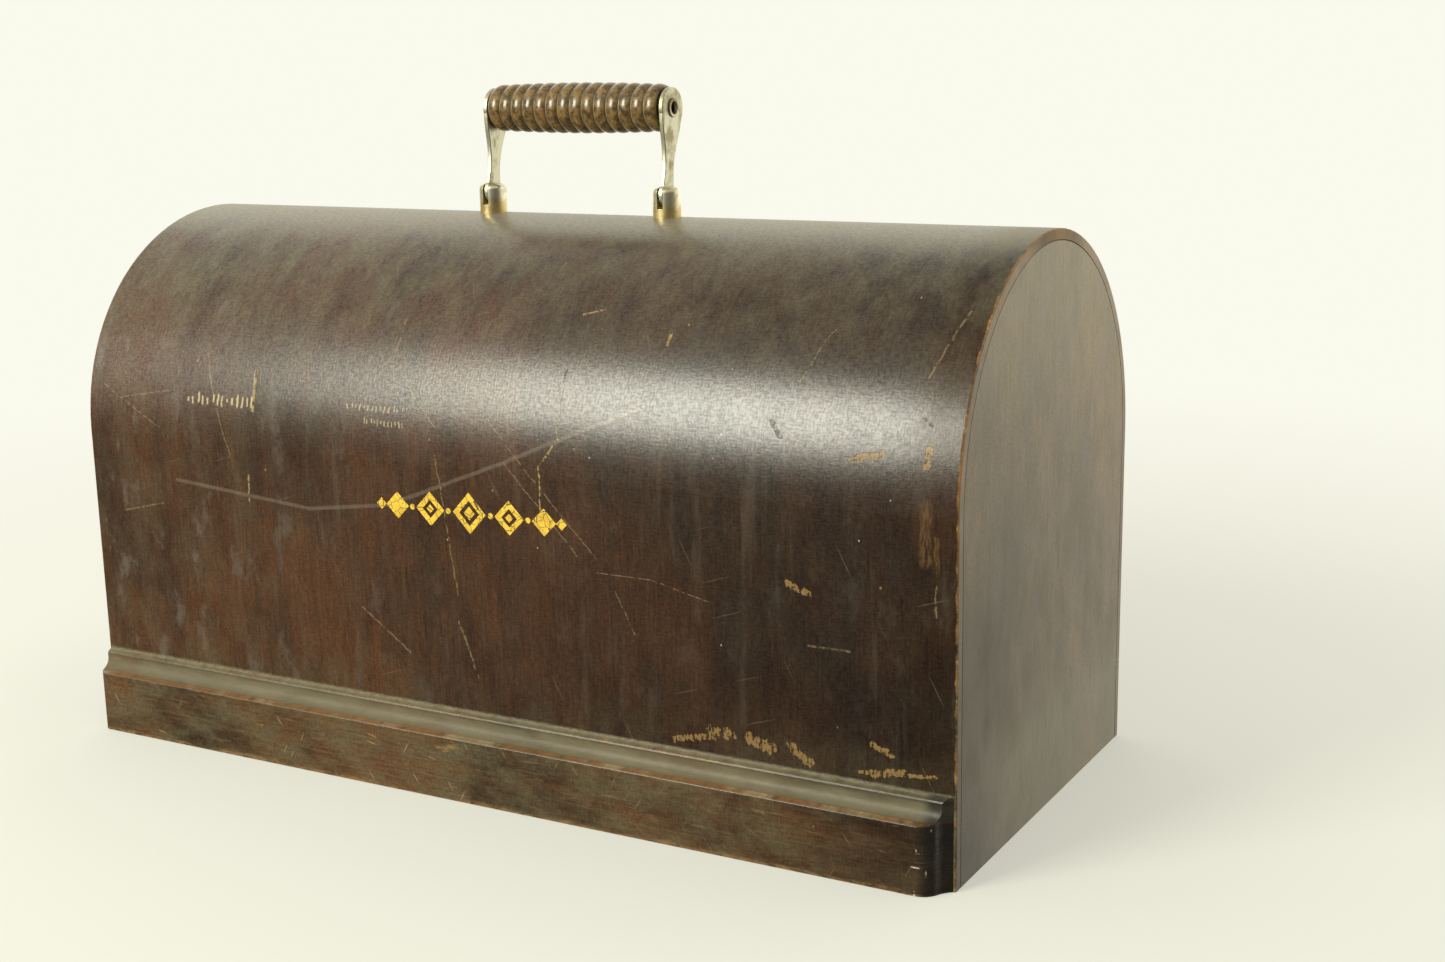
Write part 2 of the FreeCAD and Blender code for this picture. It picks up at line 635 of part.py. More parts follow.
lock_screws = []
for y in (-28.0, 28.0):
    for z in (PLATE_Z0 + 5, PLATE_Z1 - 5):
        head = Vector(plate_x1, SHELL_Y + y, z)
        tip = Vector(-HALF_L + 2.0, SHELL_Y + y, z)
        lock_screws.append(slotted_screw(tip, head, Z_AXIS, shank_d=2.6, head_d=5.0))
drive(lock_screws, "lock_plate", "left_end_panel")
parts["lock_screws"] = Part.Compound(lock_screws)


# ---- catch, inside the right end ----------------------------------------------------------------
CATCH_T = 1.6
CATCH_HALF_Y = 30.0
CATCH_Z0 = 4.0
CATCH_H = 34.0
CATCH_SHELF = 16.0


def make_catch_plate():
    """Angle plate: an upright leg on the panel, and a slotted shelf that hooks over the base's tongue."""
    upright = box(
        PANEL_X - CATCH_T, PANEL_X,
        SHELL_Y - CATCH_HALF_Y, SHELL_Y + CATCH_HALF_Y,
        CATCH_Z0, CATCH_Z0 + CATCH_H,
    )
    shelf = box(
        PANEL_X - CATCH_SHELF, PANEL_X,
        SHELL_Y - CATCH_HALF_Y, SHELL_Y + CATCH_HALF_Y,
        CATCH_Z0, CATCH_Z0 + CATCH_T,
    )
    slot = box(
        PANEL_X - 10.6, PANEL_X - 7.0,
        SHELL_Y - 14, SHELL_Y + 14,
        CATCH_Z0 - 1, CATCH_Z0 + CATCH_T + 1,
    )
    return upright.fuse(shelf).removeSplitter().cut(slot)


parts["catch_plate"] = make_catch_plate()
catch_screws = []
for y in (-24.0, 24.0):
    for z in (CATCH_Z0 + 10, CATCH_Z0 + 27):
        head = Vector(PANEL_X - CATCH_T, SHELL_Y + y, z)
        tip = Vector(HALF_L - 2.0, SHELL_Y + y, z)
        catch_screws.append(slotted_screw(tip, head, Z_AXIS, shank_d=2.8, head_d=5.4))
drive(catch_screws, "catch_plate", "right_end_panel")
parts["catch_screws"] = Part.Compound(catch_screws)


# ---- output -------------------------------------------------------------------------------------
os.makedirs("parts", exist_ok=True)
for name, shape in parts.items():
    shape.exportStep("parts/" + name + ".step")
    volume = shape.Volume / 1000
    print(f"{name:26s} solids {len(shape.Solids):2d}  volume {volume:9.3f} cm3  valid {shape.isValid()}")
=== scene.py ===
import math

import bmesh
import bpy
from mathutils import Matrix, Vector


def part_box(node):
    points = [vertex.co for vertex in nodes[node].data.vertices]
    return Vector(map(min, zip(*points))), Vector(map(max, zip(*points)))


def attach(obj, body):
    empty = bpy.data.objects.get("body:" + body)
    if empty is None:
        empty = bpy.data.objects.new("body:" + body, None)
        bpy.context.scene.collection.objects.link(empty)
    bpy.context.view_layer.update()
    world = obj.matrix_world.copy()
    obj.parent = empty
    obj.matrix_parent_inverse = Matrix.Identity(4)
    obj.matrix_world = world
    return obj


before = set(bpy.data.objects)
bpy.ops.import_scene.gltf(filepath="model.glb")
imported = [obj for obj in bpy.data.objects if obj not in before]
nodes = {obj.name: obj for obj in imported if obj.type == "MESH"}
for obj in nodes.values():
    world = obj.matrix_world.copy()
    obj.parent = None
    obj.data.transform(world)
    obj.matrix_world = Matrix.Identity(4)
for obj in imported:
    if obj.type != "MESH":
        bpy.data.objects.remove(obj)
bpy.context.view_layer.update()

# Dome-top bentwood cover of a portable sewing machine's case, in metres: +X along the length, +Y to the
# back, +Z up. Its size comes from the boxes of the CAD nodes. A few finer heights are given as numbers.

# ---- the cover's own measures ---------------------------------------------------------------------
shell_low, shell_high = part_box("bent_shell")
rail_low, rail_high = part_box("front_rail")
grip_low, grip_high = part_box("grip")
plate_low, plate_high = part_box("lock_escutcheon")

LENGTH = shell_high.x - shell_low.x
RADIUS = (shell_high.y - shell_low.y) / 2
MIDDLE_Y = (shell_high.y + shell_low.y) / 2
FRONT_Y = shell_low.y
RIDGE_Z = shell_high.z
SPRING_Z = RIDGE_Z - RADIUS                       # where the flat front turns into the dome
HALF_GIRTH = SPRING_Z + RADIUS * math.pi / 2      # from the rim up the front to the ridge
SHELL_T = 0.0045                                  # thickness of the bent plywood
MM = 0.001


# ---- node graph helper ----------------------------------------------------------------------------
class Graph:
    """One node tree. Each call adds a node and gives back its output; a value is a socket or a number."""

    def __init__(self, tree):
        self.tree = tree

    def feed(self, socket, value):
        if isinstance(value, bpy.types.NodeSocket):
            self.tree.links.new(value, socket)
        else:
            socket.default_value = value

    def add(self, kind, inputs, output=0, **settings):
        node = self.tree.nodes.new("ShaderNode" + kind)
        for name, value in settings.items():
            setattr(node, name, value)
        for key, value in inputs.items():
            self.feed(node.inputs[key], value)
        return node.outputs[output]

    def math(self, operation, a, b=0.0, c=0.0):
        return self.add("Math", {0: a, 1: b, 2: c}, operation=operation)

    def plus(self, a, b):
        return self.math("ADD", a, b)

    def minus(self, a, b):
        return self.math("SUBTRACT", a, b)

    def times(self, a, b):
        return self.math("MULTIPLY", a, b)

    def most(self, values):
        """The largest of several masks."""
        result = values[0]
        for value in values[1:]:
            result = self.math("MAXIMUM", result, value)
        return result

    def vector(self, operation, a, b=(0, 0, 0), output=0):
        return self.add("VectorMath", {0: a, 1: b}, output, operation=operation)

    def stretch(self, vector, x, y, z):
        return self.vector("MULTIPLY", vector, (x, y, z))

    def split(self, vector):
        node = self.tree.nodes.new("ShaderNodeSeparateXYZ")
        self.feed(node.inputs[0], vector)
        return node.outputs

    def join(self, x, y, z):
        return self.add("CombineXYZ", {0: x, 1: y, 2: z})

    def step(self, value, start, end, low=0.0, high=1.0):
        """Smoothly from low to high as the value goes from start to end."""
        inputs = {0: value, 1: start, 2: end, 3: low, 4: high}
        return self.add("MapRange", inputs, interpolation_type="SMOOTHSTEP")

    def noise(self, vector, detail=2.0, rough=0.5, twist=0.0):
        inputs = {"Vector": vector, "Scale": 1.0, "Detail": detail, "Roughness": rough, "Distortion": twist}
        return self.add("TexNoise", inputs)

    def cells(self, vector, feature="F1", randomness=1.0, output=0):
        inputs = {"Vector": vector, "Scale": 1.0, "Randomness": randomness}
        return self.add("TexVoronoi", inputs, output, feature=feature)

    def mix(self, factor, a, b, blend="MIX"):
        """Two colours mixed. The node's colour sockets are 6 and 7, and its colour output is 2."""
        return self.add("Mix", {0: factor, 6: a, 7: b}, 2, data_type="RGBA", blend_type=blend)

    def bump(self, height, strength, distance, normal=None):
        inputs = {"Height": height, "Strength": strength, "Distance": distance}
        if normal is not None:
            inputs["Normal"] = normal
        return self.add("Bump", inputs)

    def place(self):
        """The surface point in the frame's metres, which the node's own mesh holds."""
        return self.add("TexCoord", {}, "Object")


def colour(r, g, b):
    return (r, g, b, 1.0)


def material(name, build, coat=0.0, **fixed):
    """A material whose build(graph) gives base colour, roughness, normal and, for varnish, its gloss.

    The gloss times coat is the weight of the varnish's coat. A fixed value is the same all over the surface.
    """
    made = bpy.data.materials.new(name)
    made.use_nodes = True
    tree = made.node_tree
    shader = tree.nodes["Principled BSDF"]
    graph = Graph(tree)
    base, rough, normal, *gloss = build(graph)
    graph.feed(shader.inputs["Base Color"], base)
    graph.feed(shader.inputs["Roughness"], rough)
    graph.feed(shader.inputs["Normal"], normal)
    if gloss:
        graph.feed(shader.inputs["Coat Weight"], graph.times(gloss[0], coat))
        graph.feed(shader.inputs["Coat Normal"], normal)
    for key, value in fixed.items():
        shader.inputs[key.replace("_", " ")].default_value = value
    return made


def finish_with(made, *names):
    for name in names:
        slots = nodes[name].data.materials
        slots.clear()
        slots.append(made)


# ---- marks on the finish --------------------------------------------------------------------------
def segment_group():
    """A node group that measures how far a flat point is from a straight stretch between two ends."""
    tree = bpy.data.node_groups.new("distance to stretch", "ShaderNodeTree")
    for name in ("Point", "Start", "End"):
        tree.interface.new_socket(name, in_out="INPUT", socket_type="NodeSocketVector")
    tree.interface.new_socket("Distance", in_out="OUTPUT", socket_type="NodeSocketFloat")
    g = Graph(tree)
    ends = tree.nodes.new("NodeGroupInput").outputs
    out = tree.nodes.new("NodeGroupOutput")
    along = g.vector("SUBTRACT", ends["End"], ends["Start"])
    offset = g.vector("SUBTRACT", ends["Point"], ends["Start"])
    reach = g.vector("DOT_PRODUCT", offset, along, "Value")
    whole = g.vector("DOT_PRODUCT", along, along, "Value")
    share = g.add("Clamp", {0: g.math("DIVIDE", reach, whole)})
    nearest = g.add("VectorMath", {0: along, "Scale": share}, operation="SCALE")
    g.feed(out.inputs[0], g.vector("DISTANCE", offset, nearest, "Value"))
    return tree


SEGMENT = segment_group()


def line_mask(g, flat, points, half_width):
    """1 on a scratch that runs through the points, fading to 0 at half_width from it."""
    masks = []
    for start, end in zip(points, points[1:]):
        node = g.tree.nodes.new("ShaderNodeGroup")
        node.node_tree = SEGMENT
        g.feed(node.inputs["Point"], flat)
        node.inputs["Start"].default_value = (*start, 0)
        node.inputs["End"].default_value = (*end, 0)
        masks.append(g.step(node.outputs[0], half_width, half_width * 0.35))
    return g.most(masks)


def on_shell(points):
    """Shares of the length from the left end and of the girth from rim to ridge, as flat metres."""
    return [((along - 0.5) * LENGTH, up * HALF_GIRTH) for along, up in points]


# Wear on the shell's front and dome: each mark's half width in millimetres, and the points it runs through.
PALE_LINES = (
    (0.5, ((0.16, 0.62), (0.20, 0.46))),
    (0.5, ((0.46, 0.50), (0.48, 0.30))),
    (0.6, ((0.48, 0.26), (0.50, 0.18))),
    (0.5, ((0.40, 0.70), (0.40, 0.64))),
    (0.5, ((0.36, 0.26), (0.42, 0.20))),
    (0.3, ((0.64, 0.36), (0.70, 0.36), (0.76, 0.34))),
    (0.4, ((0.60, 0.64), (0.60, 0.54))),
    (0.4, ((0.56, 0.50), (0.64, 0.38))),
    (0.4, ((0.54, 0.50), (0.62, 0.38))),
    (0.4, ((0.66, 0.34), (0.68, 0.28))),
    (0.5, ((0.86, 0.72), (0.84, 0.64))),
    (0.6, ((0.98, 0.76), (0.96, 0.66))),
    (0.5, ((0.02, 0.56), (0.10, 0.50))),
    (0.4, ((0.04, 0.54), (0.12, 0.56))),
    (0.5, ((0.04, 0.36), (0.10, 0.38))),
    (0.6, ((0.86, 0.30), (0.90, 0.30))),
    (0.4, ((0.42, 0.60), (0.46, 0.54))),
    (0.4, ((0.52, 0.56), (0.56, 0.50))),
    (0.5, ((0.98, 0.40), (0.98, 0.36))),
)
LONG_RUB = (
    (1.2, ((0.12, 0.42), (0.30, 0.40), (0.40, 0.42), (0.54, 0.50), (0.70, 0.60))),
)
BARE_LINES = (
    (0.6, ((0.60, 0.54), (0.58, 0.50), (0.58, 0.44))),
    (0.9, ((0.70, 0.70), (0.70, 0.68))),
    (0.6, ((0.60, 0.72), (0.62, 0.73))),
    (1.2, ((0.23, 0.60), (0.23, 0.54))),
    (0.6, ((0.22, 0.44), (0.22, 0.40))),
)
SCUFFS = (
    (2.2, ((0.72, 0.14), (0.78, 0.16))),
    (3.4, ((0.76, 0.16), (0.78, 0.16))),
    (3.8, ((0.80, 0.16), (0.82, 0.15))),
    (2.8, ((0.84, 0.16), (0.86, 0.14))),
    (1.2, ((0.91, 0.14), (0.98, 0.15))),
    (2.2, ((0.92, 0.14), (0.95, 0.15))),
    (2.0, ((0.92, 0.18), (0.94, 0.17))),
    (2.2, ((0.90, 0.55), (0.93, 0.56))),
    (2.4, ((0.97, 0.57), (0.97, 0.55))),
    (2.0, ((0.84, 0.38), (0.86, 0.37))),
)
WORN_STREAKS = (
    (3.6, ((0.97, 0.50), (0.97, 0.43))),
    (1.6, ((0.98, 0.46), (0.98, 0.42))),
)
GOUGES = (
    (1.3, ((0.82, 0.59), (0.83, 0.57))),
    (0.8, ((0.60, 0.64), (0.60, 0.62))),
    (0.9, ((0.96, 0.61), (0.97, 0.60))),
)


def from_middle(g, y, z):
    """How far back and how far above the dome's axis a point is, and its distance from that axis."""
    back = g.minus(y, MIDDLE_Y)
    over = g.math("MAXIMUM", g.minus(z, SPRING_Z), 0.0)
    return back, over, g.math("SQRT", g.plus(g.times(back, back), g.times(over, over)))


def shell_flat(g):
    """The shell laid flat, x along the length and y up the front and over, and the depth below its skin."""
    x, y, z = g.split(g.place())
    back, over, reach = from_middle(g, y, z)
    turn = g.math("ARCTAN2", over, g.times(back, -1.0))
    side = g.times(g.math("SIGN", back), -1.0)
    straight = g.times(g.minus(g.math("MINIMUM", z, SPRING_Z), SPRING_Z), side)
    girth = g.plus(g.plus(g.times(turn, RADIUS), SPRING_Z), straight)
    return g.join(x, girth, 0.0), g.minus(RADIUS, reach)


def shade(g, base, factor):
    """The colour made darker or lighter by a factor."""
    return g.mix(1.0, base, g.join(factor, factor, factor), "MULTIPLY")


def wood_tone(g, flat, dark, red):
    """Stained veneer whose grain runs along the flat y direction."""
    cloud = g.noise(g.stretch(flat, 11, 9, 1), 5.0, 0.65)
    figure = g.noise(g.stretch(flat, 110, 9, 1), 3.0, 0.6, 0.4)
    fine = g.noise(g.stretch(flat, 900, 60, 1), 3.0, 0.6)
    tone = g.mix(g.step(g.plus(g.times(cloud, 0.75), g.times(figure, 0.25)), 0.38, 0.62), dark, red)
    return shade(g, tone, g.step(fine, 0.28, 0.72, 0.84, 1.16)), fine


def flecks(g, flat, per_metre, size, share):
    """Small scattered dots: the cells' middles, kept only where a cell's own number is low."""
    scaled = g.stretch(flat, *per_metre, 1)
    dot = g.step(g.cells(scaled), size, size * 0.5)
    kept = g.math("LESS_THAN", g.split(g.cells(scaled, output=1))[0], share)
    return g.times(dot, kept)


HAIRLINE = ((34.0, 900.0), 0.30)      # cells per metre along and across a scratch, and its size in a cell
SHORT_NICK = ((90.0, 950.0), 0.34)


def scratches(g, flat, kind, *angles_and_shares):
    """Sparse straight scratches, each pair at its own angle to the flat x direction."""
    per_metre, size = kind
    masks = []
    for angle, share in angles_and_shares:
        painted_dark_end = g.add("VectorRotate", {"Vector": flat, "Angle": math.radians(angle)}, rotation_type="Z_AXIS")
        masks.append(flecks(g, painted_dark_end, per_metre, size, share))
    return g.most(masks)


DUST = colour(0.108, 0.088, 0.045)


def old_varnish(g, flat, fine, tone, haze):
    """Colour, roughness, bump and gloss of a dusty, rubbed varnish over a wood tone."""
    smudge = g.noise(g.stretch(flat, 66, 38, 1), 8.0, 0.72)
    canvas = g.noise(g.stretch(flat, 1200, 340, 1), 2.0, 0.65)
    cross = g.noise(g.stretch(flat, 340, 1200, 1), 2.0, 0.65)
    grit = g.noise(g.stretch(flat, 1000, 800, 1), 4.0, 0.7)
    weave = g.plus(canvas, cross)
    scratched = scratches(g, flat, HAIRLINE, (62, 0.018), (-18, 0.015))
    cover = g.times(g.step(smudge, 0.34, 0.68), haze)
    dusty = g.mix(cover, tone, DUST)
    dusty = g.mix(g.times(scratched, 0.22), dusty, colour(0.20, 0.15, 0.08))
    dusty = shade(g, dusty, g.step(weave, 0.70, 1.30, 0.84, 1.16))
    speckle = g.times(g.step(grit, 0.30, 0.70, 0.89, 1.11), g.step(fine, 0.30, 0.70, 0.92, 1.08))
    dusty = shade(g, dusty, speckle)
    rough = g.plus(g.step(smudge, 0.35, 0.70, 0.28, 0.40), g.times(g.minus(weave, 1.0), 0.12))
    gloss = g.times(g.step(weave, 0.78, 1.22, 0.58, 1.22), g.step(grit, 0.54, 0.68, 1.06, 0.50))
    height = g.plus(g.times(fine, 0.3), g.plus(g.times(weave, 0.55), g.times(grit, 0.35)))
    return dusty, rough, height, gloss


def lines_mask(g, flat, lines):
    """1 on any mark of a list of shell marks."""
    return g.most([line_mask(g, flat, on_shell(points), width * MM) for width, points in lines])


def ragged(g, mask, noise):
    """A mask broken up by a noise, most of all towards its soft rim."""
    broken = g.step(g.plus(g.times(mask, 0.6), g.times(g.minus(noise, 0.5), 5.0)), 0.35, 0.60)
    return g.times(broken, g.step(mask, 0.0, 0.2))


def dash_row(g, flat, left, right, up, tall, pitch):
    """A row of uneven short upright dashes between two shares of the length."""
    along, girth, _ = g.split(flat)
    share = g.math("DIVIDE", g.minus(along, (left - 0.5) * LENGTH), (right - left) * LENGTH)
    inside = g.times(g.math("GREATER_THAN", share, 0.0), g.math("LESS_THAN", share, 1.0))
    count = g.math("DIVIDE", along, pitch)
    own = g.add("TexWhiteNoise", {"W": g.math("FLOOR", count)}, 0, noise_dimensions="1D")
    other = g.add("TexWhiteNoise", {"W": g.plus(g.math("FLOOR", count), 0.37)}, 0, noise_dimensions="1D")
    middle = g.plus(g.times(g.minus(own, 0.5), 0.35), 0.5)
    tooth = g.step(g.math("ABSOLUTE", g.minus(g.math("FRACT", count), middle)), 0.24, 0.10)
    offset = g.minus(girth, g.plus(up * HALF_GIRTH, g.times(g.minus(own, 0.5), tall * 0.5)))
    size = g.times(g.plus(g.times(other, 0.9), 0.25), tall)
    band = g.step(g.math("DIVIDE", g.math("ABSOLUTE", offset), size), 1.0, 0.6)
    return g.times(g.times(inside, tooth), band)


VARNISH_TINT = colour(1.0, 0.97, 0.82)
WORN_EDGE = colour(0.29, 0.140, 0.042)
BARE_TAN = colour(0.29, 0.175, 0.058)
CREAM_DUST = colour(0.25, 0.22, 0.125)
END_TONES = (colour(0.064, 0.042, 0.020), colour(0.112, 0.068, 0.027))


def painted_end_light(g, x, y, z, fine):
    """Painted light and shade on an end of the cover: lighter up and back, darkest in the lower front corner.
    """
    height = g.step(z, 0.7 * SPRING_Z, RIDGE_Z, 1.14, 1.95)
    across = g.step(y, FRONT_Y, FRONT_Y + 2 * RADIUS, 0.80, 1.30)
    from_corner = g.vector("LENGTH", g.join(g.minus(y, FRONT_Y), z, 0.0), output="Value")
    # painted shade, darkest in the lower front corner
    corner = g.step(from_corner, 12 * MM, 100 * MM, 0.42, 1.0)
    # painted light: the right end lighter than the left
    faces = g.times(g.times(height, across), g.step(x, -0.1, 0.1, 0.52, 1.15))
    return g.times(faces, g.times(corner, g.step(fine, 0.3, 0.7, 0.92, 1.08)))


def cover_noise(g, y, z):
    """The cloudy tone that both the panel and the plywood's end share."""
    return g.step(g.noise(g.stretch(g.join(y, z, 0.0), 26, 12, 1), 5.0, 0.65), 0.36, 0.64)


def mark_shell(g, base, flat, wobble, coarse):
    """The shell's colour with its scratches, scuffs, dashes, gouges and dots, and a mask of what cuts in."""
    upright = g.noise(g.stretch(flat, 800, 160, 1), 3.0, 0.65)
    shifted = g.vector("ADD", flat, g.join(g.times(g.minus(wobble, 0.5), 3.0 * MM), 0.0, 0.0))
    break_up = g.step(coarse, 0.40, 0.56)
    pale = lines_mask(g, shifted, PALE_LINES)
    rub = g.times(lines_mask(g, shifted, LONG_RUB), g.step(coarse, 0.25, 0.60, 0.45, 1.0))
    base = g.mix(g.times(rub, 0.36), base, colour(0.20, 0.165, 0.115))
    bare = lines_mask(g, shifted, BARE_LINES)
    scuffed = ragged(g, lines_mask(g, shifted, SCUFFS), g.times(g.plus(upright, coarse), 0.5))
    streaked = g.times(lines_mask(g, shifted, WORN_STREAKS), g.step(upright, 0.36, 0.62))
    bold = dash_row(g, shifted, left=0.14, right=0.23, up=0.55, tall=3.4 * MM, pitch=2.9 * MM)
    upper = dash_row(g, shifted, left=0.35, right=0.42, up=0.56, tall=1.9 * MM, pitch=2.3 * MM)
    lower = dash_row(g, shifted, left=0.37, right=0.42, up=0.54, tall=1.9 * MM, pitch=1.9 * MM)
    dashes = g.most([bold, g.times(upper, 0.7), g.times(lower, 0.7)])
    gouged = ragged(g, lines_mask(g, flat, GOUGES), coarse)
    base = g.mix(g.times(streaked, 0.50), base, colour(0.16, 0.085, 0.028))
    base = g.mix(g.times(g.times(pale, break_up), 0.42), base, colour(0.30, 0.22, 0.11))
    base = g.mix(g.times(g.times(bare, break_up), 0.62), base, colour(0.44, 0.32, 0.12))
    base = g.mix(g.times(scuffed, 0.70), base, BARE_TAN)
    base = g.mix(g.times(dashes, 0.90), base, colour(0.44, 0.35, 0.18))
    base = g.mix(g.times(gouged, 0.8), base, colour(0.020, 0.016, 0.012))

    tan_dots = flecks(g, flat, (95.0, 80.0), 0.060, 0.30)
    white_dots = flecks(g, flat, (150.0, 110.0), 0.060, 0.10)
    pits = flecks(g, g.vector("ADD", flat, (0.3, 0.1, 0)), (170.0, 120.0), 0.10, 0.15)
    base = g.mix(g.times(tan_dots, 0.7), base, BARE_TAN)
    base = g.mix(g.times(white_dots, 0.7), base, colour(0.50, 0.45, 0.35))
    base = g.mix(g.times(pits, 0.5), base, colour(0.015, 0.010, 0.008))
    return base, g.most([g.times(pale, 0.4), bare, scuffed, gouged, dashes, pits])


def build_shell(g):
    """Dark stained veneer under dusty varnish, worn at the arrises, with a plain wood inside; painted shade
    darkens it towards the right end, and painted light pales its ridge and its ends.
    """
    flat, depth = shell_flat(g)
    along, girth, _ = g.split(flat)
    x, y, z = g.split(g.place())
    wobble = g.noise(g.stretch(flat, 160, 160, 1), 3.0, 0.6)
    coarse = g.noise(g.stretch(flat, 420, 420, 1), 3.0, 0.7)
    tone, fine = wood_tone(g, flat, colour(0.031, 0.0135, 0.0060), colour(0.072, 0.0265, 0.0090))
    # painted shade: the wood darker towards the right end
    tone = shade(g, tone, g.step(along, -0.06, 0.20, 1.0, 0.40))
    left = g.step(along, 0.02, -0.22, 0.05, 0.26)
    up = g.minus(HALF_GIRTH, g.math("ABSOLUTE", g.minus(girth, HALF_GIRTH)))
    crown = g.times(g.step(up, 0.56 * HALF_GIRTH, 0.84 * HALF_GIRTH), g.step(along, 0.12, -0.22, 0.50, 0.85))
    dust_and_ridge_light = g.plus(g.plus(left, crown), g.step(up, 0.45 * SPRING_Z, 0.25 * SPRING_Z, 0.0, 0.20))
    # more pale dust towards the ridge, part of it painted light
    dust_and_ridge_light = g.plus(dust_and_ridge_light, g.step(up, 0.80 * HALF_GIRTH, 0.96 * HALF_GIRTH, 0.0, 0.30))
    base, rough, height, gloss = old_varnish(g, flat, fine, tone, g.math("MINIMUM", dust_and_ridge_light, 1.0))
    ridge = g.step(up, 0.84 * HALF_GIRTH, 0.98 * HALF_GIRTH)
    rough = g.plus(rough, g.times(ridge, 0.30))
    gloss = g.times(gloss, g.minus(1.0, g.times(ridge, 0.45)))
    # the ridge painted paler: dust and painted light
    base = g.mix(g.times(ridge, 0.60), base, colour(0.265, 0.238, 0.172))
    faded = g.step(g.noise(g.stretch(flat, 95, 10, 1), 4.0, 0.6), 0.54, 0.74)
    base = g.mix(g.times(faded, 0.30), base, colour(0.105, 0.078, 0.052))

    smears = g.step(g.noise(g.stretch(flat, 80, 40, 1), 6.0, 0.68), 0.54, 0.68)
    base = g.mix(g.times(g.times(smears, left), 1.70), base, colour(0.150, 0.126, 0.102))

    base, cut = mark_shell(g, base, flat, wobble, coarse)

    above_rail = g.step(girth, rail_high.z + 1.2 * MM, rail_high.z)
    base = g.mix(g.times(above_rail, g.step(coarse, 0.3, 0.7, 0.1, 0.55)), base, CREAM_DUST)

    to_end = g.minus(LENGTH / 2, g.math("ABSOLUTE", along))
    end_face = g.step(to_end, 0.6 * MM, 0.2 * MM)
    end_grain = g.mix(cover_noise(g, y, z), *END_TONES)
    # the plywood's end gets the same painted light and shade as the end panels
    base = g.mix(end_face, base, shade(g, end_grain, painted_end_light(g, x, y, z, fine)))
    gloss = g.times(gloss, g.step(end_face, 0.0, 1.0, 1.0, 0.40))
    gloss = g.times(gloss, g.step(along, 0.19, 0.215, 1.10, 0.50))
    to_arris = g.math("SQRT", g.plus(g.times(to_end, to_end), g.times(depth, depth)))
    uneven = g.plus(to_arris, g.times(g.minus(wobble, 0.5), 2.4 * MM))
    edge_patches = g.noise(g.stretch(flat, 60, 35, 1), 4.0, 0.65)
    worn = g.times(g.step(uneven, 1.0 * MM, 0.3 * MM), g.step(edge_patches, 0.35, 0.60, 0.25, 0.9))
    base = g.mix(worn, base, g.mix(g.step(coarse, 0.52, 0.66), WORN_EDGE, colour(0.40, 0.27, 0.12)))

    inner_grain = g.noise(g.stretch(flat, 500, 9, 1), 4.0, 0.6)
    inner = g.mix(inner_grain, colour(0.15, 0.075, 0.035), colour(0.32, 0.19, 0.10))
    inside = g.times(g.step(depth, 1.5 * MM, 2.5 * MM), g.minus(1.0, end_face))
    base = g.mix(inside, base, inner)
    rough = g.plus(rough, g.times(inside, 0.4))
    gloss = g.times(gloss, g.minus(1.0, g.times(inside, 0.9)))
    gloss = g.times(gloss, g.minus(1.0, g.times(cut, 0.6)))
    return base, rough, g.bump(g.minus(height, g.times(cut, 0.6)), 0.45, 0.13 * MM), gloss


finish_with(
    material("old varnished veneer", build_shell, coat=0.86, Specular_IOR_Level=0.22,
             Specular_Tint=VARNISH_TINT, Coat_Roughness=0.29),
    "bent_shell",
)


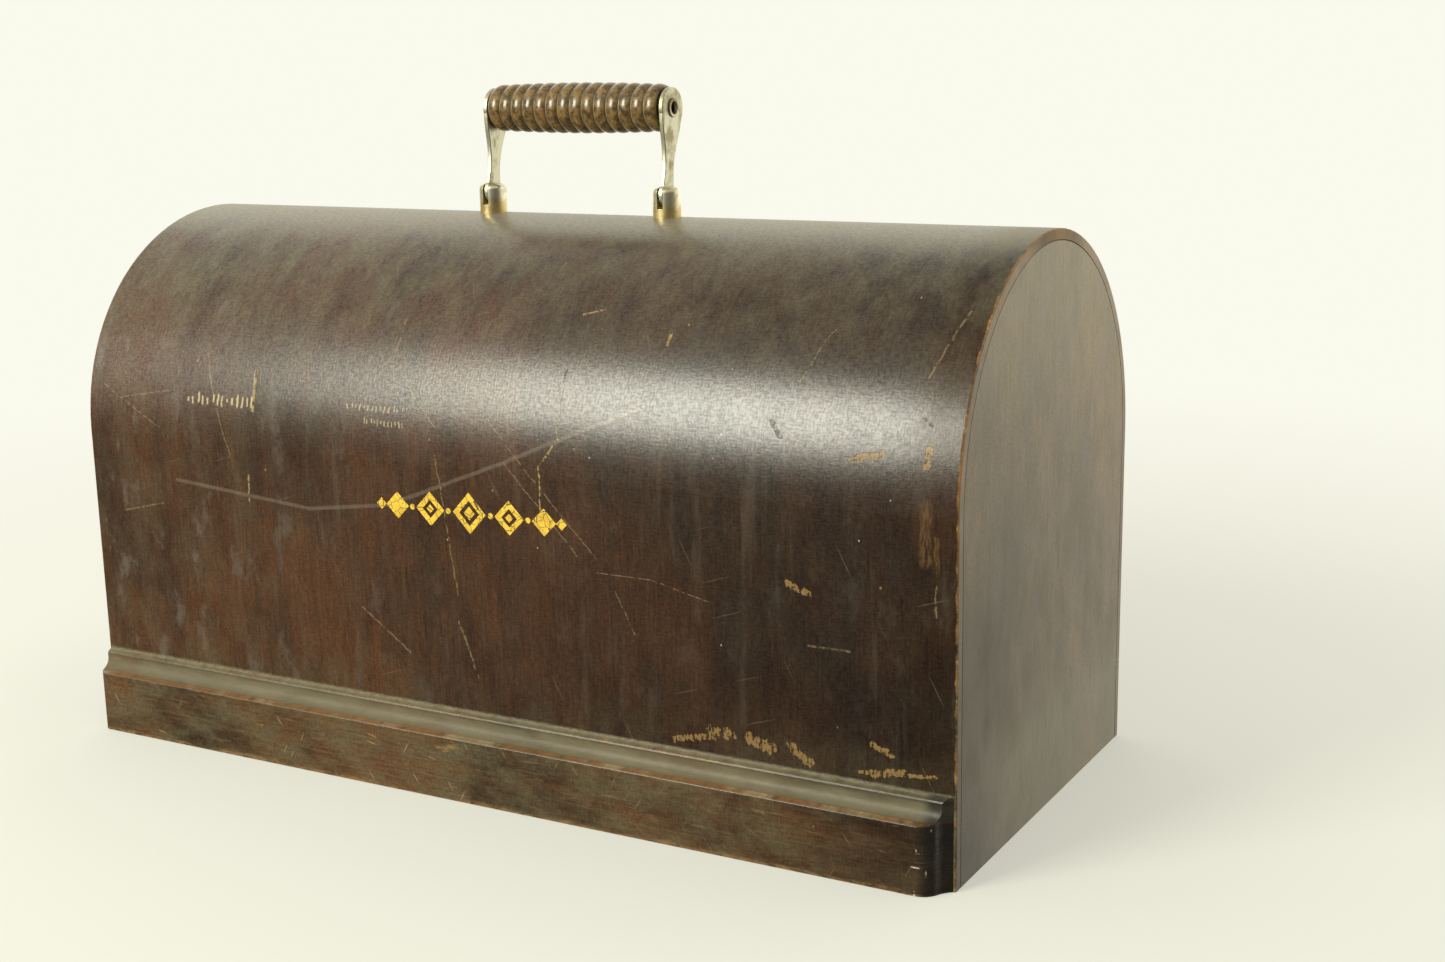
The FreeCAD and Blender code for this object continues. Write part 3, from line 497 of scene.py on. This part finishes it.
def build_panel(g):
    """An end panel: greyer varnish over upright grain, paler where light is painted at the top and low at the
    back, browner in the middle where shade is painted; plain wood inside.
    """
    x, y, z = g.split(g.place())
    flat = g.join(y, z, 0.0)
    fine = g.noise(g.stretch(flat, 900, 60, 1), 3.0, 0.6)
    tone = g.mix(cover_noise(g, y, z), *END_TONES)
    base, rough, height, gloss = old_varnish(g, flat, fine, tone, 0.50)
    # painted light and shade: lighter up and back, darker in the lower front corner
    base = shade(g, base, painted_end_light(g, x, y, z, fine))
    # painted shade: a browner, darker band low on the panel, towards the front
    painted_brown_shade = g.step(g.noise(g.stretch(flat, 17, 9, 1), 4.0, 0.6), 0.42, 0.62, 0.25, 0.75)
    painted_brown_shade = g.times(painted_brown_shade, g.step(z, 1.15 * SPRING_Z, 0.6 * SPRING_Z))
    painted_brown_shade = g.times(painted_brown_shade, g.step(y, FRONT_Y + 1.5 * RADIUS, FRONT_Y + 0.2 * RADIUS, 0.3, 1.0))
    painted_brown_shade = g.times(painted_brown_shade, g.step(z, 0.15 * SPRING_Z, 0.45 * SPRING_Z, 0.25, 1.15))
    base = g.mix(painted_brown_shade, base, colour(0.062, 0.041, 0.015))
    # painted light: paler and greyer towards the top, less on the left end
    painted_top_light = g.times(g.step(z, SPRING_Z, RIDGE_Z, 0.0, 0.45), g.step(x, -0.1, 0.1, 0.4, 1.0))
    base = g.mix(painted_top_light, base, colour(0.260, 0.240, 0.160))
    # painted reflection of the floor: paler and greyer low down, away from the front corner
    painted_floor_reflection = g.step(y, FRONT_Y + 0.05 * RADIUS, FRONT_Y + 0.50 * RADIUS)
    painted_floor_reflection = g.times(g.step(z, 0.45 * SPRING_Z, 0.2 * SPRING_Z, 0.0, 0.28), painted_floor_reflection)
    gloss = g.times(gloss, g.minus(1.0, g.times(painted_brown_shade, 0.5)))
    base = g.mix(painted_floor_reflection, base, colour(0.260, 0.240, 0.165))
    streaks = g.noise(g.stretch(flat, 500, 14, 1), 4.0, 0.65)
    base = shade(g, base, g.step(streaks, 0.35, 0.65, 0.93, 1.06))
    pores = g.step(g.noise(g.stretch(flat, 900, 90, 1), 2.0, 0.6), 0.58, 0.70)
    base = g.mix(g.times(pores, 0.30), base, colour(0.024, 0.016, 0.009))
    base = g.mix(g.times(flecks(g, flat, (70.0, 70.0), 0.06, 0.12), 0.6), base, BARE_TAN)
    reach = from_middle(g, y, z)[2]
    seam = g.step(reach, RADIUS - SHELL_T - 0.7 * MM, RADIUS - SHELL_T - 0.3 * MM)
    base = g.mix(g.times(seam, 0.35), base, colour(0.015, 0.011, 0.008))
    inside = g.step(g.math("ABSOLUTE", x), LENGTH / 2 - 4 * MM, LENGTH / 2 - 6 * MM)
    base = g.mix(inside, base, g.mix(fine, colour(0.17, 0.09, 0.045), colour(0.30, 0.18, 0.10)))
    return base, g.plus(rough, 0.08), g.bump(height, 0.30, 0.12 * MM), g.times(gloss, 0.70)


finish_with(
    material("old varnished end", build_panel, coat=0.35, Specular_IOR_Level=0.25,
             Specular_Tint=VARNISH_TINT, Coat_Roughness=0.40),
    "left_end_panel", "right_end_panel",
)

LIP_Z = 0.0286                                    # heights on the moulding: its lip, cove's top and ledge
COVE_TOP_Z = 0.0345
LEDGE_Z = 0.0370
# painted shade: the rail's wood darker and less dusty towards its right end
RIGHT_END_SHADE_X = (0.10, 0.21)                            # where the rail darkens towards its right end, from and to
CHIPPED_X = 0.190                                 # where the chips near its right end start
# the rail's right end is painted near black: a painted dark reflection
DARK_END_FROM_X = LENGTH / 2 - 13.0 * MM                 # where it starts to turn black, and is black
DARK_END_X = LENGTH / 2 - 7.5 * MM


def build_rail(g):
    """The front moulding: dusty cove with a painted reflection, dusty ledge, a worn lip with painted glints,
    nicks and chips, painted shade to the right and a painted dark reflection on the right end.
    """
    x, y, z = g.split(g.place())
    flat = g.join(z, x, 0.0)
    coarse = g.noise(g.stretch(flat, 420, 160, 1), 4.0, 0.7)
    patches = g.noise(g.stretch(flat, 60, 22, 1), 4.0, 0.65)
    tone, fine = wood_tone(g, flat, colour(0.030, 0.016, 0.008), colour(0.105, 0.046, 0.017))
    # painted shade towards the right end
    tone = shade(g, tone, g.step(x, *RIGHT_END_SHADE_X, 1.0, 0.45))
    base, rough, height, gloss = old_varnish(g, flat, fine, tone, g.step(x, *RIGHT_END_SHADE_X, 0.75, 0.25))
    above_lip = g.step(z, LIP_Z + 0.2 * MM, LIP_Z + 0.8 * MM)
    in_cove = g.times(above_lip, g.step(z, LEDGE_Z + 0.3 * MM, COVE_TOP_Z))
    # grey dust and a painted reflection in the cove, where the real gloss is lowered
    cove_dust_and_sheen = g.times(in_cove, g.step(patches, 0.35, 0.60, 0.45, 0.90))
    base = g.mix(cove_dust_and_sheen, base, colour(0.150, 0.128, 0.076))
    rough = g.plus(rough, g.times(in_cove, 0.28))
    gloss = g.times(gloss, g.minus(1.0, g.times(in_cove, 0.65)))
    on_ledge = g.step(z, LEDGE_Z - 1.2 * MM, LEDGE_Z + 0.5 * MM)
    on_ledge = g.times(on_ledge, g.step(coarse, 0.30, 0.60, 0.35, 0.95))
    near_shell = g.step(y, FRONT_Y - 2.2 * MM, FRONT_Y - 0.6 * MM, 0.35, 1.0)
    base = g.mix(g.times(on_ledge, near_shell), base, CREAM_DUST)
    from_lip = g.math("ABSOLUTE", g.minus(z, LIP_Z + 0.1 * MM))
    lip = g.times(g.step(from_lip, 0.55 * MM, 0.15 * MM), g.step(coarse, 0.30, 0.55, 0.15, 0.85))
    # the lip's worn wood, its paler patches painted glints
    worn_lip_and_glints = g.mix(g.step(patches, 0.50, 0.62), colour(0.23, 0.105, 0.036), colour(0.34, 0.24, 0.13))
    base = g.mix(lip, base, worn_lip_and_glints)
    rim = g.times(g.step(g.plus(z, g.times(g.minus(patches, 0.5), 8 * MM)), 2.2 * MM, 0.2 * MM), 0.7)
    base = g.mix(g.times(rim, g.step(coarse, 0.35, 0.60)), base, colour(0.27, 0.155, 0.06))
    bare = g.times(g.step(patches, 0.66, 0.70), g.step(coarse, 0.45, 0.55))
    base = g.mix(g.times(bare, 0.6), base, BARE_TAN)
    streaks = g.step(g.noise(g.stretch(flat, 520, 45, 1), 3.0, 0.6), 0.58, 0.70)
    base = g.mix(g.times(streaks, 0.22), base, colour(0.24, 0.17, 0.09))
    # painted dark reflection on the right end, which is also made glossier
    painted_dark_end = g.step(g.plus(x, g.times(g.minus(patches, 0.5), 5 * MM)), DARK_END_FROM_X, DARK_END_X)
    base = g.mix(g.times(painted_dark_end, 0.85), base, colour(0.014, 0.012, 0.009))
    face = g.step(z, LIP_Z - 1 * MM, LIP_Z - 3 * MM)
    round_chips = g.times(flecks(g, flat, (150.0, 150.0), 0.10, 0.08),
                          g.step(x, CHIPPED_X, CHIPPED_X + 22 * MM, 0.25, 1.0))
    upright_chips = g.times(flecks(g, flat, (110.0, 480.0), 0.26, 0.14),
                            g.step(x, CHIPPED_X + 12 * MM, CHIPPED_X + 19 * MM))
    level_chips = g.times(flecks(g, flat, (520.0, 70.0), 0.22, 0.12),
                          g.step(x, CHIPPED_X, CHIPPED_X + 16 * MM))
    chips = g.most([round_chips, upright_chips, level_chips])
    base = g.mix(g.times(g.times(chips, face), g.step(coarse, 0.40, 0.55)), base, colour(0.50, 0.49, 0.43))
    nicks = scratches(g, flat, SHORT_NICK, (80, 0.03), (35, 0.03), (-30, 0.02))
    nicks = g.times(g.times(nicks, face), g.step(x, 0.0, 0.16, 1.0, 0.35))
    base = g.mix(g.times(nicks, g.step(patches, 0.35, 0.60, 0.15, 0.75)), base, colour(0.33, 0.21, 0.08))
    rough = g.minus(rough, g.times(painted_dark_end, 0.10))
    gloss = g.times(gloss, g.plus(1.0, g.times(painted_dark_end, 1.2)))
    return base, rough, g.bump(g.minus(height, g.times(chips, 0.5)), 0.35, 0.12 * MM), gloss


finish_with(
    material("old varnished moulding", build_rail, coat=0.50, Specular_IOR_Level=0.22,
             Specular_Tint=VARNISH_TINT, Coat_Roughness=0.34),
    "front_rail",
)


# ---- bare wood inside -------------------------------------------------------------------------------
def bare_wood(name, grain, light, dark):
    """Unfinished softwood; grain is 0, 1 or 2 for the axis that its fibres follow."""
    def build(g):
        fibre, ring = [140.0] * 3, [60.0] * 3
        fibre[grain], ring[grain] = 6.0, 1.5
        rings = g.math("SINE", g.times(g.noise(g.stretch(g.place(), *ring), 2.0, 0.5), 60.0))
        fine = g.noise(g.stretch(g.place(), *(8 * value for value in fibre)), 3.0, 0.6)
        stain = g.noise(g.stretch(g.place(), 12, 12, 12), 4.0, 0.6)
        base = g.mix(g.step(rings, -0.2, 1.0), light, dark)
        base = shade(g, base, g.step(fine, 0.3, 0.7, 0.78, 1.12))
        base = g.mix(g.step(stain, 0.48, 0.70, 0.0, 0.6), base, colour(0.10, 0.06, 0.035))
        return base, g.step(fine, 0.2, 0.8, 0.62, 0.85), g.bump(fine, 0.35, 0.15 * MM)

    return material(name, build)


PINE = (colour(0.46, 0.29, 0.15), colour(0.33, 0.18, 0.085))
finish_with(bare_wood("pine along", 0, *PINE), "front_sill", "rear_sill", "ridge_board")
finish_with(
    bare_wood("pine across", 1, *PINE),
    "left_front_cleat", "left_rear_cleat", "right_front_cleat", "right_rear_cleat",
)
finish_with(
    bare_wood("pine upright", 2, *PINE),
    "left_front_corner_block", "left_rear_corner_block", "left_arch_blocks",
    "right_front_corner_block", "right_rear_corner_block", "right_arch_blocks",
)


# ---- handle -----------------------------------------------------------------------------------------
def metal(name, bright, tarnish, smooth, rough, spots=0.0, low=None):
    """Rubbed metal with cloudy tarnish and fine scratches; low is (height, colour) of a worn-through foot."""
    def build(g):
        place = g.place()
        cloud = g.noise(g.stretch(place, 170, 170, 120), 4.0, 0.6)
        scratch = g.noise(g.stretch(place, 2600, 1800, 160), 2.0, 0.6)
        grime = g.noise(g.stretch(place, 900, 900, 900), 3.0, 0.65)
        base = g.mix(g.step(cloud, 0.42, 0.66), bright, tarnish)
        if low is not None:
            height, under = low
            z = g.split(place)[2]
            edge = g.plus(z, g.times(g.minus(cloud, 0.5), 9 * MM))
            base = g.mix(g.step(edge, height + 2.5 * MM, height - 2.5 * MM), base, under)
        base = g.mix(g.times(g.step(grime, 0.60, 0.70), spots), base, colour(0.06, 0.045, 0.025))
        shine = g.plus(g.step(cloud, 0.40, 0.70, smooth, rough), g.times(g.minus(scratch, 0.5), 0.10))
        return base, shine, g.bump(g.plus(scratch, g.times(grime, 0.5)), 0.20, 0.05 * MM)

    return material(name, build, Metallic=1.0)


NICKEL = (colour(0.60, 0.57, 0.42), colour(0.36, 0.32, 0.19))
finish_with(
    metal("nickel", *NICKEL, 0.40, 0.52, spots=0.35),
    "left_handle_arm", "right_handle_arm", "left_pivot_pin", "right_pivot_pin",
)
finish_with(
    metal("tarnished nickel", colour(0.56, 0.48, 0.35), colour(0.26, 0.19, 0.12), 0.36, 0.52, spots=0.5),
    "grip_rod",
)
finish_with(
    metal("nickel worn to brass", colour(0.90, 0.86, 0.68), colour(0.66, 0.58, 0.36), 0.32, 0.48, spots=0.5,
          low=(RIDGE_Z + 5.5 * MM, colour(0.72, 0.57, 0.26))),
    "left_handle_post", "right_handle_post",
)
finish_with(
    metal("old steel", colour(0.42, 0.41, 0.39), colour(0.16, 0.11, 0.075), 0.34, 0.58, spots=0.7),
    "lock_plate", "lock_case", "catch_plate", "left_post_washer", "right_post_washer",
    "left_post_nut", "right_post_nut",
)
finish_with(
    metal("rubbed steel", colour(0.52, 0.50, 0.47), colour(0.30, 0.26, 0.21), 0.25, 0.45, spots=0.3),
    "lock_bolt", "lock_cam", "lock_studs", "lock_spring",
)
finish_with(
    metal("screw steel", colour(0.46, 0.44, 0.40), colour(0.20, 0.14, 0.09), 0.32, 0.55, spots=0.6),
    "rail_screws", "left_cleat_screws", "right_cleat_screws", "lock_screws", "catch_screws",
)
finish_with(
    metal("old brass", colour(0.62, 0.44, 0.17), colour(0.30, 0.20, 0.085), 0.28, 0.50, spots=0.6),
    "lock_escutcheon", "escutcheon_pins",
)

GRIP_BEADS = 14


def build_grip(g):
    """Mottled brown wood in beads, with dark grooves and a pale line beside each."""
    place = g.place()
    x = g.split(place)[0]
    beat = g.math("FRACT", g.times(g.minus(x, grip_low.x), GRIP_BEADS / (grip_high.x - grip_low.x)))
    from_groove = g.minus(0.5, g.math("ABSOLUTE", g.minus(beat, 0.5)))
    mottle = g.noise(g.stretch(place, 330, 330, 330), 5.0, 0.70)
    spots = g.noise(g.stretch(place, 1000, 1000, 1000), 3.0, 0.6)
    base = g.mix(g.step(mottle, 0.40, 0.60), colour(0.060, 0.034, 0.011), colour(0.205, 0.115, 0.030))
    base = g.mix(g.step(spots, 0.60, 0.74, 0.0, 0.7), base, colour(0.30, 0.22, 0.07))
    base = g.mix(g.step(spots, 0.40, 0.28, 0.0, 0.6), base, colour(0.060, 0.048, 0.024))
    base = g.mix(g.step(from_groove, 0.16, 0.03, 0.0, 0.75), base, colour(0.060, 0.048, 0.026))
    line = g.step(g.math("ABSOLUTE", g.minus(beat, 0.055)), 0.05, 0.02, 0.0, 0.65)
    base = g.mix(line, base, colour(0.40, 0.33, 0.21))
    rough = g.step(mottle, 0.3, 0.7, 0.24, 0.40)
    return base, rough, g.bump(g.plus(mottle, g.times(spots, 0.4)), 0.25, 0.12 * MM)


finish_with(
    material("turned grip wood", build_grip, Coat_Weight=0.65, Coat_Roughness=0.20,
             Specular_Tint=VARNISH_TINT),
    "grip",
)


# ---- gold transfer ----------------------------------------------------------------------------------
def ring_outline(half_w, half_h, corners=4):
    """Points of a lozenge, or of an oval where there are more corners."""
    turns = [2 * math.pi * step / corners for step in range(corners)]
    return [(half_w * math.cos(turn), half_h * math.sin(turn)) for turn in turns]


def make_transfer():
    """A plain geometric gold ornament on the front: hollow lozenges and leaves between small dots."""
    centre_x, centre_z = -0.002 * LENGTH, 0.87 * SPRING_Z
    proud, sunk = 0.07 * MM, 0.03 * MM
    shape = bmesh.new()

    def loop(x, points, y):
        return [shape.verts.new((centre_x + x + dx, y, centre_z + dz)) for dx, dz in points]

    def solid(x, points):
        near, far = loop(x, points, FRONT_Y - proud), loop(x, points, FRONT_Y + sunk)
        shape.faces.new(near)
        shape.faces.new(far[::-1])
        for i in range(len(points)):
            j = (i + 1) % len(points)
            shape.faces.new((near[j], near[i], far[i], far[j]))

    def frame_of(x, outer, inner):
        rings = [loop(x, points, y) for y in (FRONT_Y - proud, FRONT_Y + sunk) for points in (outer, inner)]
        outer_near, inner_near, outer_far, inner_far = rings
        for i in range(len(outer)):
            j = (i + 1) % len(outer)
            shape.faces.new((outer_near[i], outer_near[j], inner_near[j], inner_near[i]))
            shape.faces.new((outer_far[j], outer_far[i], inner_far[i], inner_far[j]))
            shape.faces.new((outer_near[j], outer_near[i], outer_far[i], outer_far[j]))
            shape.faces.new((inner_near[i], inner_near[j], inner_far[j], inner_far[i]))

    frame_of(0.0, ring_outline(8.5 * MM, 9.0 * MM), ring_outline(5.2 * MM, 5.5 * MM))
    solid(0.0, ring_outline(2.8 * MM, 3.0 * MM))
    for side in (-1, 1):
        solid(side * 11.0 * MM, ring_outline(1.3 * MM, 1.3 * MM, 16))
        frame_of(side * 20.5 * MM, ring_outline(7.5 * MM, 7.5 * MM), ring_outline(4.0 * MM, 4.0 * MM))
        solid(side * 20.5 * MM, ring_outline(2.0 * MM, 2.0 * MM))
        solid(side * 30.0 * MM, ring_outline(1.3 * MM, 1.3 * MM, 16))
        solid(side * 38.0 * MM, ring_outline(6.0 * MM, 6.0 * MM))
        solid(side * 46.7 * MM, ring_outline(2.6 * MM, 2.6 * MM))
    bmesh.ops.recalc_face_normals(shape, faces=shape.faces)
    mesh = bpy.data.meshes.new("gold_ornament")
    shape.to_mesh(mesh)
    shape.free()
    ornament = bpy.data.objects.new("gold_ornament", mesh)
    bpy.context.scene.collection.objects.link(ornament)

    def build(g):
        x, y, z = g.split(g.place())
        flat = g.join(x, z, 0.0)
        cloud = g.noise(g.stretch(flat, 200, 200, 1), 4.0, 0.6)
        cracks = g.cells(g.stretch(flat, 240, 240, 1), "DISTANCE_TO_EDGE")
        base = g.mix(g.step(cloud, 0.35, 0.65), colour(0.60, 0.37, 0.030), colour(0.80, 0.52, 0.035))
        worn = g.step(g.noise(g.stretch(flat, 700, 500, 1), 3.0, 0.7), 0.60, 0.68)
        base = g.mix(g.math("MAXIMUM", g.step(cracks, 0.035, 0.01), worn), base, colour(0.10, 0.055, 0.018))
        return base, g.step(cloud, 0.3, 0.7, 0.34, 0.48), g.bump(cloud, 0.2, 0.1 * MM)

    mesh.materials.append(material("gold leaf transfer", build, Coat_Weight=0.3, Coat_Roughness=0.2))
    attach(ornament, "cover")


make_transfer()


# ---- camera ---------------------------------------------------------------------------------------
CAMERA_PLACE = (0.486, -0.742, 0.317)
CAMERA_TURNS = (29.3, 12.5, -1.05)                # yaw to the left, pitch down and roll, in degrees
LENS_MM, SENSOR_MM = 48.7, 36.0


def make_camera():
    """The viewing angle: from the right of the front, a little above the ridge, looking down."""
    data = bpy.data.cameras.new("camera")
    data.lens = LENS_MM
    data.sensor_width = SENSOR_MM
    camera = bpy.data.objects.new("camera", data)
    yaw, pitch, roll = (math.radians(degrees) for degrees in CAMERA_TURNS)
    level = Matrix.Rotation(yaw, 4, "Z") @ Matrix.Rotation(math.pi / 2 - pitch, 4, "X")
    camera.matrix_world = Matrix.Translation(CAMERA_PLACE) @ level @ Matrix.Rotation(roll, 4, "Z")
    bpy.context.scene.collection.objects.link(camera)
    bpy.context.scene.camera = camera


make_camera()


# ---- studio ---------------------------------------------------------------------------------------
BACKDROP = colour(0.955, 0.950, 0.845)
FLOOR = colour(0.70, 0.69, 0.62)
FLOOR_RADIUS = 9.0
LIGHT_COLOUR = (0.985, 1.0, 0.90)


def make_floor():
    """A pale floor that glows more with distance, so that it meets the backdrop without a horizon line."""
    mesh = bpy.data.meshes.new("floor")
    sheet = bmesh.new()
    bmesh.ops.create_circle(sheet, cap_ends=True, radius=FLOOR_RADIUS, segments=96)
    sheet.to_mesh(mesh)
    sheet.free()
    floor = bpy.data.objects.new("floor", mesh)
    floor.location.z = -0.2 * MM
    bpy.context.scene.collection.objects.link(floor)

    def build(g):
        shadeless = g.step(g.vector("LENGTH", g.place(), output="Value"), 0.2, 1.1, 0.40, 1.0)
        weave = g.noise(g.stretch(g.place(), 900, 900, 1), 1.0, 0.5)
        base = g.mix(shadeless, FLOOR, colour(0, 0, 0))
        shader = g.tree.nodes["Principled BSDF"]
        shader.inputs["Emission Color"].default_value = BACKDROP
        g.feed(shader.inputs["Emission Strength"], shadeless)
        return base, g.step(weave, 0.2, 0.8, 0.75, 0.85), g.bump(weave, 0.1, 0.1 * MM)

    mesh.materials.append(material("pale floor", build, Specular_IOR_Level=0.0))
    floor.visible_glossy = False


def make_world():
    """A pale room: white behind the cover and overhead, dimmer in front, dark low down and to the right."""
    world = bpy.data.worlds.new("studio")
    world.use_nodes = True
    tree = world.node_tree
    g = Graph(tree)
    x, y, z = g.split(g.add("TexCoord", {}, "Generated"))
    room = g.times(g.step(z, -0.15, 0.12, 0.08, 0.50), g.step(x, 0.0, 0.6, 1.0, 0.3))
    behind = g.times(g.step(y, -0.05, 0.50), g.step(z, 0.85, 0.45))
    behind = g.times(behind, g.step(z, -0.60, -0.10, 0.55, 1.30))
    overhead = g.step(z, 0.35, 0.60, 0.0, 0.80)
    overhead = g.times(overhead, g.step(z, 0.98, 0.75, 0.3, 1.0))
    lit = tree.nodes["Background"]
    g.feed(lit.inputs["Color"], colour(1.0, 0.985, 0.86))
    g.feed(lit.inputs["Strength"], g.most([room, behind, overhead]))
    seen = tree.nodes.new("ShaderNodeBackground")
    g.feed(seen.inputs["Color"], BACKDROP)
    both = tree.nodes.new("ShaderNodeMixShader")
    g.feed(both.inputs[0], g.add("LightPath", {}, "Is Camera Ray"))
    g.feed(both.inputs[1], lit.outputs[0])
    g.feed(both.inputs[2], seen.outputs[0])
    g.feed(tree.nodes["World Output"].inputs["Surface"], both.outputs[0])
    bpy.context.scene.world = world


def soft_light(name, azimuth, elevation, distance, width, height, brightness, mirrored=True):
    """A softbox that faces the cover. Azimuth 0 is straight in front and positive is to the right."""
    data = bpy.data.lights.new(name, "AREA")
    data.shape = "RECTANGLE"
    data.size, data.size_y = width, height
    data.energy = brightness * math.pi * width * height
    data.color = LIGHT_COLOUR
    lamp = bpy.data.objects.new(name, data)
    turn, lift = math.radians(azimuth), math.radians(elevation)
    centre = Vector((0, 0, SPRING_Z))
    away = Vector((math.sin(turn) * math.cos(lift), -math.cos(turn) * math.cos(lift), math.sin(lift)))
    lamp.location = centre + away * distance
    lamp.rotation_euler = away.to_track_quat("Z", "Y").to_euler()
    lamp.visible_glossy = mirrored
    bpy.context.scene.collection.objects.link(lamp)


make_floor()
make_world()
soft_light("key", azimuth=-26, elevation=23.3, distance=2.2, width=0.92, height=0.93, brightness=16.3)
soft_light("halo", azimuth=-26, elevation=32, distance=2.4, width=1.4, height=0.8, brightness=1.2)
soft_light("overhead", azimuth=180, elevation=80, distance=2.4, width=2.6, height=2.2, brightness=0.9,
           mirrored=False)
bpy.context.scene.view_settings.view_transform = "Standard"
